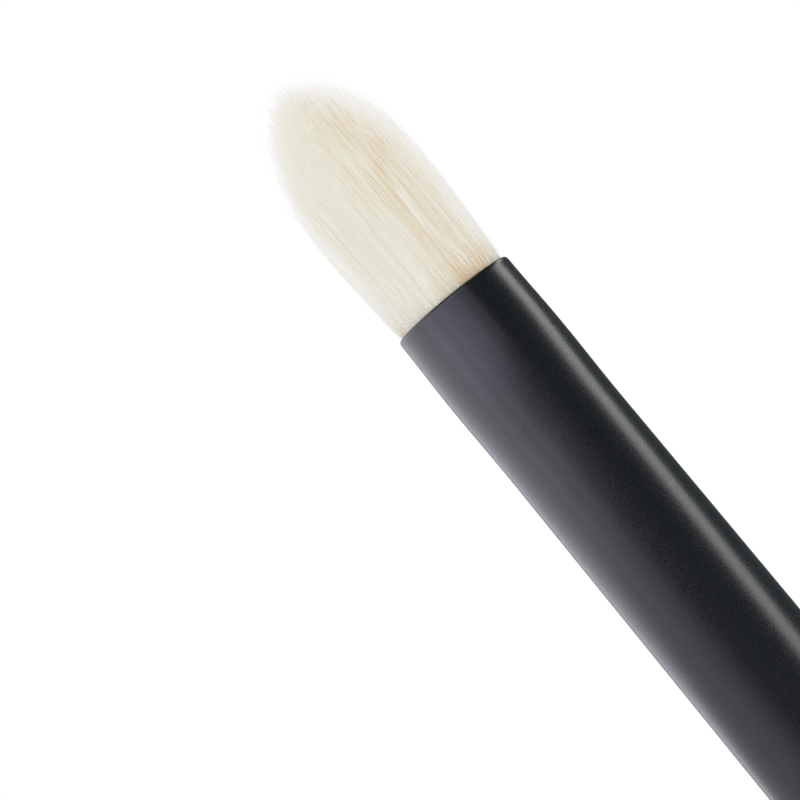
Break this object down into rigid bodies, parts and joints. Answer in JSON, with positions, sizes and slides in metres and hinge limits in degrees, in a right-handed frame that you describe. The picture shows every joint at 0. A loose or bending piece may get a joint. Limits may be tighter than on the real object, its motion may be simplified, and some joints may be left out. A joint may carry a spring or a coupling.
{
  "type": "blending brush",
  "caption": "Slim cosmetic blending brush: a bullet-shaped hair tuft in a satin black ferrule on a tapered black handle, for softening powder on the eyelid.",
  "frame": {"origin": "centre of the flat butt end of the handle, which is the bottom centre of the bounding box", "axes": "+Z along the brush's own axis, from the butt towards the tip of the hair; X and Y are alike, because the brush is round"},
  "size_m": [0.01, 0.01, 0.1647],
  "materials": {
    "hair": "matte",
    "thread": "matte",
    "epoxy": "gloss",
    "ferrule": "satin",
    "handle": "satin",
    "adhesive": "satin"
  },
  "bodies": {
    "root": {"hair_tuft": "hair", "root_binding": "thread", "glue_plug": "epoxy", "ferrule": "ferrule", "handle": "handle", "tenon_adhesive": "adhesive"}
  },
  "joints": []
}
